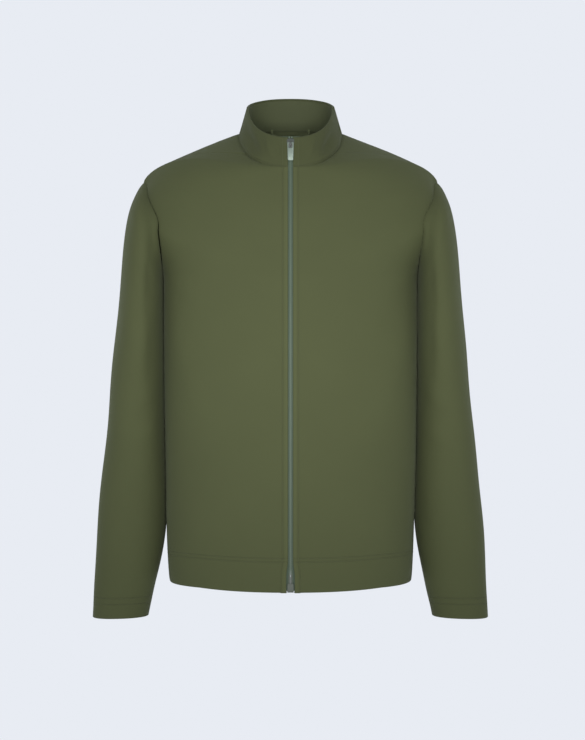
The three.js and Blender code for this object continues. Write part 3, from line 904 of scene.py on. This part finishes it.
for side, word in SIDES:
    facing = lined(f"{word}_facing_cloth", body, FACING_ROWS, facing_span, marks(10, 0.05, (1,)),
                   depth=4.7 * MM, wall=0.5 * MM, zero="stop", side=side,
                   relief=lambda points, u, v: drift(points, 31, 0.09, 0.2 * MM))
    declare(facing, [f"{word}_front_facing"])
    bend_front(facing, side)
    hem = lined(f"{word}_hem_cloth", body, HEM_ROWS,
                lambda row: (0.004 + 0 * row, zip_edge(body, 20 * MM)(row)), marks(60, 0.28),
                depth=3.6 * MM, wall=0.4 * MM, side=side)
    declare(hem, [f"{word}_hem_turn"], "torso")
back_hem = lined("back_hem_cloth", body, HEM_ROWS, level(-math.pi + 0.004, -0.004), marks(96, 0.43),
                 depth=3.6 * MM, wall=0.4 * MM)
declare(back_hem, ["back_hem_turn"], "torso")
neck_facing = cloth("neck_facing_cloth", body, NECK_ROWS, level(-math.pi + 0.45, -0.45), marks(40, 0.2),
                    depth=4.2 * MM, wall=0.5 * MM, inside=True, material=neck_cloth)
declare(neck_facing, ["neck_facing"], "torso")

# %% [markdown]
# ## Stand collar
# The collar is a band that leans in a little from the neck seam and is doubled: outer cloth turned over
# the rim, lining sewn just below it. It is cut into a back and two front thirds where the fronts begin to
# fold.

# %% Collar
COLLAR_ROWS = -0.03 + marks(20, 0.045) * 1.03
LINING_ROWS = -0.10 + marks(16, 0.045) * 1.07


def collar_third(row):
    return angle_where(collar, row, lambda points: across_roll(points) > ROLL_BAND[0] - 1 * MM)


COLLAR_CREASES = [((0.071, 0.006), (0.048, -0.038), 0.0065, -5.5 * MM),
                  ((0.072, -0.032), (0.036, -0.056), 0.0055, 4.5 * MM),
                  ((0.035, -0.016), (0.027, -0.042), 0.0045, 2.6 * MM),
                  ((0.018, -0.024), (0.015, -0.050), 0.0040, -1.6 * MM)]


def collar_relief(points, u, v):
    low = np.clip((0.05 - v) / 0.05, 0, 1)
    in_front = (points[..., 1] < 0) * np.clip(v / (9 * MM), 0, 1)
    return creases(points, COLLAR_CREASES) * in_front + drift(points, 41, 0.05, 0.35 * MM) * (0.4 + low)


def around_back(row):
    return -math.pi - collar_third(row), collar_third(row)


collar_back = cloth("collar_back_cloth", collar, COLLAR_ROWS, around_back, marks(110, 0.38),
                    relief=collar_relief, turns=(RIM_TURN, COLLAR_FOOT_TURN), material=collar_cloth)
declare(collar_back, ["collar_back"], "torso")
back_lining = lined("collar_back_lining_cloth", collar, LINING_ROWS, around_back, marks(90, 0.38),
                    depth=4.3 * MM, wall=0.5 * MM, relief=collar_relief)
declare(back_lining, ["collar_back_lining"], "torso")
for side, word in SIDES:
    outer = cloth(f"{word}_collar_cloth", collar, COLLAR_ROWS,
                  lambda row: (collar_third(row), zip_edge(collar, EDGE_X)(row)), marks(26, 0.07),
                  relief=collar_relief, zero="stop", side=side, material=collar_cloth,
                  turns=(COLLAR_ZIP_TURN, RIM_TURN, COLLAR_FOOT_TURN))
    declare(outer, [f"{word}_collar_front"])
    bend_front(outer, side)
    lining = lined(f"{word}_collar_lining_cloth", collar, LINING_ROWS,
                   lambda row: (collar_third(row), zip_edge(collar, LINING_EDGE_X)(row)), marks(22, 0.07),
                   depth=4.3 * MM, wall=0.5 * MM, relief=collar_relief, zero="stop", side=side)
    declare(lining, [f"{word}_collar_front_lining"])
    bend_front(lining, side)

# %% [markdown]
# ## Sleeves
# A set-in sleeve: the seam is sunk where it meets the body, the cloth is nearly smooth over the upper arm,
# and it breaks softly on the inside of the elbow. The cuff is turned up and stitched.

# %% Sleeves and cuffs
SLEEVE_BREAKS = [((0.192, ARMPIT_Z - 0.16), (0.236, ARMPIT_Z - 0.20), 0.012, 1.8 * MM),
                 ((0.190, ARMPIT_Z - 0.22), (0.232, ARMPIT_Z - 0.245), 0.012, 1.6 * MM),
                 ((0.192, ARMPIT_Z - 0.03), (0.222, ARMPIT_Z - 0.13), 0.014, 2.0 * MM),
                 ((0.206, ARMPIT_Z + 0.08), (0.212, ARMPIT_Z - 0.03), 0.010, 1.6 * MM),
                 ((0.24, ARMPIT_Z - 0.33), (0.20, ARMPIT_Z - 0.36), 0.014, 1.4 * MM)]
ARMPIT_HOLLOW = [((0.202, ARMPIT_Z + 0.09), (0.200, ARMPIT_Z - 0.16), 0.012, -4 * MM)]


def sleeve_relief(points, u, v):
    in_front = points[..., 1] < -0.02
    folds = creases(points, SLEEVE_BREAKS) + creases(points, ARMPIT_HOLLOW) * in_front
    across = np.abs(points[..., 0])
    beside = np.exp(-((across - 0.186) / 0.010) ** 2)
    below_seam = v.max() - v
    outer = np.clip((across - 0.2) / 0.02, 0, 1)
    crown = 2.0 * MM * np.exp(-((below_seam - 12 * MM) / (13 * MM)) ** 2) * outer
    settled = np.clip(below_seam / (11 * MM), 0, 1) ** 1.5
    free = (drift(points, 51, 0.13, 1.1 * MM) + folds) * (1 - beside) * settled
    return free * np.clip(v / 0.05, 0.3, 1) + crown


all_round = level(-math.pi, math.pi)
for side, word in SIDES:
    arm = cloth(f"{word}_sleeve_cloth", sleeve, marks(118, 0.66), all_round, np.linspace(0, 1, 121),
                relief=sleeve_relief, dips=("v0",), closed=True, top_down=True, turns=(CUFF_TURN,),
                side=side, material=sleeve_cloth)
    declare(arm,
            [f"{word}_sleeve_cap", f"{word}_sleeve"])
    bend_sleeve(arm, side)
    cuff = lined(f"{word}_cuff_cloth", sleeve, 0.95 + marks(8, 0.03, (1,)) * 0.047, all_round,
                 np.linspace(0, 1, 97), depth=3.3 * MM, wall=0.4 * MM, closed=True, top_down=True, side=side)
    declare(cuff, [f"{word}_cuff_turn"],
            f"{word}_sleeve")

# %% [markdown]
# ## Zip
# The chain lies in a plane that leans back a little, so its parts are laid out flat, with x across, y into
# the cloth and z up the chain, and then tipped into place. Each tape is a ribbed ribbon with a thicker
# edge, the teeth are moulded on to it one by one, and the two rows interlock half a tooth apart.

# %% Zip tapes
ZIP_TIP = math.atan2(ZIP_HEAD.y - ZIP_FOOT_Y, ZIP_HEAD.z - HEM_Z)
ZIP_PLACE = Matrix.Translation(ZIP_HEAD) @ Matrix.Rotation(-abs(ZIP_TIP), 4, "X")
ZIP_LENGTH = (Vector((0, ZIP_FOOT_Y, HEM_Z)) - ZIP_HEAD).length
BOX_TOP = 8 * MM - ZIP_LENGTH
CHAIN = (BOX_TOP + 12.8 * MM, -4.6 * MM)


def laid_flat(across, up):
    """The tape's own surface: across and up in metres, tipped into the jacket's frame."""
    local = stack(across, 2.6 * MM + 0 * across, up)
    turn = np.array(ZIP_PLACE)
    return local @ turn[:3, :3].T + turn[:3, 3]


def tape_relief(points, u, v):
    return 0.45 * MM * np.exp(-((u - 2.4 * MM) / (0.7 * MM)) ** 2) + drift(points, 61, 0.06, 0.12 * MM)


TAPE_ROWS = mix(-2 * MM - ZIP_LENGTH, 3 * MM, marks(150, 0.62, (1,)))
TAPE_OUTER, TAPE_INNER = 13 * MM, 0.85 * MM
for side, word in SIDES:
    tape = cloth(f"{word}_zip_tape_weave", laid_flat, TAPE_ROWS, level(TAPE_OUTER, TAPE_INNER),
                 np.linspace(0, 1, 19), wall=0.5 * MM, relief=tape_relief, zero="stop", side=side,
                 material=tape_weave)
    declare(tape, [f"{word}_zip_tape"])
    bend_front(tape, side)

# %% Zip teeth
TOOTH_PITCH, TOOTH_HALF = 2.6, 0.62


def bevelled(shape, edges, width, segments):
    bmesh.ops.bevel(shape, geom=edges, offset=width, offset_type="OFFSET", segments=segments, profile=0.5,
                    affect="EDGES", clamp_overlap=True, material=-1)


def block(shape, side, across, deep, up):
    """A block in the zip's own frame, in millimetres, mirrored for the right side."""
    low, high = zip(sorted(side * edge for edge in across), deep, up)
    size = [(b - a) * MM for a, b in zip(low, high)]
    middle = [(a + b) / 2 * MM for a, b in zip(low, high)]
    bmesh.ops.create_cube(shape, size=1,
                          matrix=ZIP_PLACE @ Matrix.Translation(middle) @ Matrix.Diagonal((*size, 1)))


for side, word in SIDES:
    shape = bmesh.new()
    height = CHAIN[0] / MM + 0.25 + (TOOTH_PITCH / 2 if side == 1 else 0)
    while height < CHAIN[1] / MM - 0.8:
        block(shape, side, (-0.75, 2.75), (1.55, 3.7), (height - TOOTH_HALF, height + TOOTH_HALF))
        height += TOOTH_PITCH
    bevelled(shape, shape.edges[:], 0.24 * MM, 1)
    teeth = finished(f"{word}_tooth_row", shape, tooth_resin, smooth=False)
    bend_front(teeth, side)
    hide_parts(f"{word}_zip_teeth")
    print(teeth.name, len(teeth.data.polygons), "faces")

# %% [markdown]
# ## Slider, puller and the small parts
# These have their true shape in the frame already, but with knife edges. A copy of each is merged, its
# flat faces are joined again, and every sharp edge is rounded: cast metal always shows a bright rim.

# %% Rounded copies
def rounded(name, node, width, material, body, reshape=None):
    """reshape, if given, moves one point of the node in the zip's own frame before its edges are rounded."""
    shape = bmesh.new()
    shape.from_mesh(bpy.data.objects[node].data)
    for vertex in shape.verts if reshape else ():
        vertex.co = ZIP_PLACE @ reshape(ZIP_PLACE.inverted() @ vertex.co)
    bmesh.ops.remove_doubles(shape, verts=shape.verts, dist=0.005 * MM)
    bmesh.ops.dissolve_limit(shape, angle_limit=math.radians(3), verts=shape.verts, edges=shape.edges)
    sharp = [edge for edge in shape.edges if len(edge.link_faces) == 2
             and edge.calc_face_angle(0) > math.radians(25)]
    bevelled(shape, sharp, width, 3)
    piece = finished(name, shape, material)
    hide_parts(node)
    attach(piece, body)
    print(name, len(piece.data.polygons), "faces")


def slim_post(spot):
    """The guide post between the slider's plates, hidden in use, slimmed so that the pins close round it."""
    if abs(spot.x) < 1 * MM and -4.5 * MM < spot.z < -1.4 * MM:
        spot.x *= 0.14
    return spot


def long_box(spot):
    """The foot of the retainer box, drawn down as far as the hem sags."""
    if spot.z < BOX_TOP - 4 * MM:
        spot.z -= 3 * MM
    return spot


# The slider body is made dark with painted shade, so that the hole through the bridge reads as shadow.
rounded("slider_body_cast", "slider_body", 0.3 * MM, slider_enamel, "zip_slider",
        reshape=slim_post)
rounded("slider_bridge_cast", "slider_bridge", 0.22 * MM, slider_enamel, "zip_slider")
rounded("puller_cast", "zip_puller", 0.3 * MM, zip_metal, "zip_puller")
rounded("retainer_box_moulded", "retainer_box", 0.6 * MM, pin_resin, "torso",
        reshape=long_box)
# A pin is three blocks: (distance from the middle, bottom, top). The middle one leaves room for the post.
PIN_BLOCKS = ((0.03, -2, 9.2), (0.16, 8.8, 12.6), (0.03, 12.3, 13.4))
for side, word in SIDES:
    pin_shape = bmesh.new()
    for near, low, high in PIN_BLOCKS:
        block(pin_shape, side, (near, 2.8), (1.7, 3.9), (BOX_TOP / MM + low, BOX_TOP / MM + high))
    bevelled(pin_shape, pin_shape.edges[:], 0.15 * MM, 2)
    pin = finished(f"{word}_pin_moulded", pin_shape, pin_resin)
    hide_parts(f"{word}_zip_pin")
    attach(pin, "torso")
    rounded(f"{word}_stop_moulded", f"{word}_top_stop", 0.4 * MM, tooth_resin, f"{word}_front")

# %% [markdown]
# ## Hanger loop
# A narrow tape is sewn under the collar seam by both ends and hangs in a shallow loop, so that the jacket
# can go on a peg. It is one strip bent along a curve.

# %% Hanger loop
LOOP_LINE = [(-28, 13.5), (-27.6, 8), (-25.5, 4.2), (-14, 2.8),
             (14, 2.8), (25.5, 4.2), (27.6, 8), (28, 13.5)]


def loop_surface(share, row):
    share, row = np.broadcast_arrays(np.asarray(share, float), np.asarray(row, float))
    line = through(LOOP_LINE, share)
    after, before = (through(LOOP_LINE, np.clip(share + step, 0, 1)) for step in (0.004, -0.004))
    ahead = after - before
    ahead /= np.linalg.norm(ahead, axis=-1, keepdims=True) + 1e-12
    x = line[..., 0] - ahead[..., 1] * row
    z = line[..., 1] + ahead[..., 0] * row
    return stack(x, 69.2 * MM - 0.4 * MM * np.sin(math.pi * share), z)


loop = cloth("hanger_loop_tape", loop_surface, mix(-1.6 * MM, 1.6 * MM, np.linspace(0, 1, 7)),
             level(0, 1), np.linspace(0, 1, 61), wall=0.9 * MM, material=neck_cloth)
# The strip is 3.2 mm wide and 0.00023 square metres.
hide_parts("hanger_loop")
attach(loop, "torso")

# %% [markdown]
# ## Sewing it together
# The seams that show are ruled on the finished cloth and sewn: the zip edges, the turned hem and cuffs,
# the yoke and the collar seam.

# %% Stitch rows
for side, word in SIDES:
    front, band, arm = f"{word}_front_cloth", f"{word}_collar_cloth", f"{word}_sleeve_cloth"
    bend_front(sew(f"{word}_front_thread", (front, "u", ZIP_LINE), (front, "v", HEM_LINE),
                   (front, "v", HEM_UPPER)), side)
    bend_front(sew(f"{word}_collar_thread", (band, "v", COLLAR_LINE), (band, "u", ZIP_LINE)), side)
    bend_sleeve(sew(f"{word}_cuff_thread", (arm, "v", CUFF_LINE), (arm, "v", CUFF_LOWER)), side)
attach(sew("back_thread", ("back_panel_cloth", "v", HEM_LINE), ("back_panel_cloth", "v", HEM_UPPER),
            ("back_yoke_cloth", "v", YOKE_LINE, 0.02, 0.98), ("collar_back_cloth", "v", COLLAR_LINE)), "torso")

# %% [markdown]
# ## Floor and finish
# A plain pale floor well below the hem gives the underside its soft bounce.

# %% Floor
floor_shape = bmesh.new()
bmesh.ops.create_circle(floor_shape, cap_ends=True, segments=96, radius=1.6,
                        matrix=Matrix.Translation((0, 0, HEM_Z - 0.59)))
floor_finish = Finish("pale_floor")
speck = floor_finish.noise(floor_finish.spot("Object"), 14.0)
floor_finish.set(Base_Color=floor_finish.blend(speck, (0.90, 0.92, 0.95, 1), (0.93, 0.95, 0.98, 1)),
                 Roughness=0.9)
floor = finished("floor", floor_shape, floor_finish.material, smooth=False)
